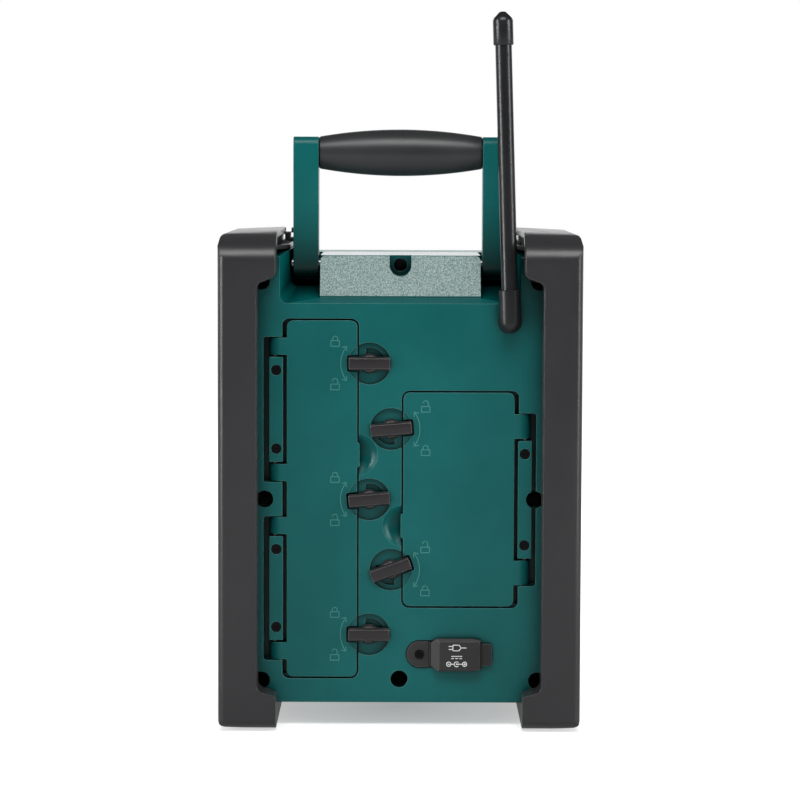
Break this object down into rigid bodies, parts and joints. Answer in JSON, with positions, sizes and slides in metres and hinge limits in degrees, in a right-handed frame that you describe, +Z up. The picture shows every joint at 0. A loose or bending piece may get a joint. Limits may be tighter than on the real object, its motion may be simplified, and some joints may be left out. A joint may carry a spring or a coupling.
{
  "type": "jobsite radio",
  "caption": "Rugged portable radio with bumpers, folding carry handle, swivel antenna, latched device and battery doors, front speaker, display, buttons and knobs.",
  "frame": {"origin": "on the floor, under the middle of the radio's width and depth", "axes": "+Z up, +Y out of the back face that carries the doors, +X towards the device door's hinge; the front with the loudspeaker faces -Y"},
  "size_m": [0.1908, 0.152, 0.3779],
  "materials": {
    "body_green": "satin moulded plastic, deep teal green",
    "bumper_rubber": "matt charcoal soft-touch moulding",
    "soft_rubber": "matt black rubber",
    "dark_plastic": "satin charcoal plastic",
    "antenna_rubber": "smooth black antenna sleeve",
    "black_plastic": "matt black moulded plastic",
    "knob_plastic": "satin black plastic",
    "clear_lens": "smoked clear window",
    "display_glass": "grey-green liquid crystal display",
    "circuit_board": "green circuit board",
    "zinc_steel": "zinc-plated steel",
    "black_steel": "blackened screws",
    "contact_steel": "nickel-plated spring steel",
    "pressed_steel": "zinc-dipped pressed steel",
    "speaker_paper": "black coated paper cone"
  },
  "bodies": {
    "radio": {"rear_cover": "body_green", "front_housing": "body_green", "case_seal": "soft_rubber", "bumper_left": "bumper_rubber", "bumper_right": "bumper_rubber", "case_screws": "zinc_steel", "handle_pins": "zinc_steel", "device_hinge_pins": "zinc_steel", "device_hinge_retainers": "body_green", "battery_hinge_pins": "zinc_steel", "battery_hinge_retainer": "body_green", "hinge_screws": "black_steel", "device_bay": "black_plastic", "aux_jack": "black_plastic", "battery_tray": "black_plastic", "battery_contacts": "contact_steel", "battery_springs": "contact_steel", "antenna_base": "dark_plastic", "inlet_cover_anchor": "soft_rubber", "inlet_cover_screw": "black_steel", "dc_jack": "black_plastic", "control_panel": "black_plastic", "display_lens": "clear_lens", "display_module": "display_glass", "control_board": "circuit_board", "encoders": "contact_steel", "speaker_grille": "black_plastic", "speaker_frame": "pressed_steel", "speaker_magnet": "pressed_steel", "speaker_cone": "speaker_paper", "main_board": "circuit_board"},
    "handle": {"handle_frame": "body_green", "handle_grip": "bumper_rubber"},
    "device_door": {"device_door": "body_green", "device_door_rail": "body_green", "device_door_seal": "soft_rubber"},
    "battery_door": {"battery_door": "body_green", "battery_door_seal": "soft_rubber"},
    "antenna": {"antenna_foot": "dark_plastic", "antenna_mast": "antenna_rubber", "antenna_tip": "dark_plastic"},
    "inlet_flap": {"inlet_cover_flap": "soft_rubber"},
    "latch_1": {"latch_1": "dark_plastic"},
    "latch_2": {"latch_2": "dark_plastic"},
    "latch_3": {"latch_3": "dark_plastic"},
    "latch_4": {"latch_4": "dark_plastic"},
    "latch_5": {"latch_5": "dark_plastic"},
    "volume_knob": {"volume_knob": "knob_plastic", "volume_shaft": "contact_steel"},
    "tuning_knob": {"tuning_knob": "knob_plastic", "tuning_shaft": "contact_steel"},
    "button_1": {"button_1": "soft_rubber"},
    "button_2": {"button_2": "soft_rubber"},
    "button_3": {"button_3": "soft_rubber"},
    "button_4": {"button_4": "soft_rubber"},
    "button_5": {"button_5": "soft_rubber"},
    "button_6": {"button_6": "soft_rubber"}
  },
  "joints": [
    {"name": "handle_fold", "type": "hinge", "parent": "radio", "child": "handle", "pos_m": [0, 0.035, 0.2455], "axis": [1, 0, 0], "range_deg": [0, 72]},
    {"name": "device_door_hinge", "type": "hinge", "parent": "radio", "child": "device_door", "pos_m": [0.0662, 0.0534, 0.1215], "axis": [0, 0, -1], "range_deg": [0, 95]},
    {"name": "battery_door_hinge", "type": "hinge", "parent": "radio", "child": "battery_door", "pos_m": [-0.0662, 0.0534, 0.1215], "axis": [0, 0, 1], "range_deg": [0, 95]},
    {"name": "antenna_swivel", "type": "hinge", "parent": "radio", "child": "antenna", "pos_m": [-0.0578, 0.06395, 0.216], "axis": [0, 1, 0], "range_deg": [-4, 62]},
    {"name": "inlet_flap_hinge", "type": "hinge", "parent": "radio", "child": "inlet_flap", "pos_m": [-0.0162, 0.0582, 0.0389], "axis": [0, 0, -1], "range_deg": [0, 95]},
    {"name": "latch_1_turn", "type": "hinge", "parent": "radio", "child": "latch_1", "pos_m": [0.0161, 0.058, 0.1936], "axis": [0, 1, 0], "range_deg": [0, 90]},
    {"name": "latch_2_turn", "type": "hinge", "parent": "radio", "child": "latch_2", "pos_m": [0.0161, 0.058, 0.1215], "axis": [0, 1, 0], "range_deg": [-5, 85]},
    {"name": "latch_3_turn", "type": "hinge", "parent": "radio", "child": "latch_3", "pos_m": [0.0161, 0.058, 0.0494], "axis": [0, 1, 0], "range_deg": [0, 90]},
    {"name": "latch_4_turn", "type": "hinge", "parent": "radio", "child": "latch_4", "pos_m": [0.0046, 0.058, 0.1589], "axis": [0, 1, 0], "range_deg": [-5, 85]},
    {"name": "latch_5_turn", "type": "hinge", "parent": "radio", "child": "latch_5", "pos_m": [0.0046, 0.058, 0.0841], "axis": [0, 1, 0], "range_deg": [-20, 70]},
    {"name": "volume_turn", "type": "hinge", "parent": "radio", "child": "volume_knob", "pos_m": [0.0495, -0.06, 0.211], "axis": [0, 1, 0], "range_deg": [-150, 150]},
    {"name": "tuning_turn", "type": "hinge", "parent": "radio", "child": "tuning_knob", "pos_m": [-0.0495, -0.06, 0.211], "axis": [0, 1, 0], "continuous": true},
    {"name": "button_1_press", "type": "slide", "parent": "radio", "child": "button_1", "axis": [0, 1, 0], "range_m": [0, 0.0012], "stiffness_N_per_m": 400, "springref_m": -0.001},
    {"name": "button_2_press", "type": "slide", "parent": "radio", "child": "button_2", "axis": [0, 1, 0], "range_m": [0, 0.0012], "stiffness_N_per_m": 400, "springref_m": -0.001},
    {"name": "button_3_press", "type": "slide", "parent": "radio", "child": "button_3", "axis": [0, 1, 0], "range_m": [0, 0.0012], "stiffness_N_per_m": 400, "springref_m": -0.001},
    {"name": "button_4_press", "type": "slide", "parent": "radio", "child": "button_4", "axis": [0, 1, 0], "range_m": [0, 0.0012], "stiffness_N_per_m": 400, "springref_m": -0.001},
    {"name": "button_5_press", "type": "slide", "parent": "radio", "child": "button_5", "axis": [0, 1, 0], "range_m": [0, 0.0012], "stiffness_N_per_m": 400, "springref_m": -0.001},
    {"name": "button_6_press", "type": "slide", "parent": "radio", "child": "button_6", "axis": [0, 1, 0], "range_m": [0, 0.0012], "stiffness_N_per_m": 400, "springref_m": -0.001}
  ]
}
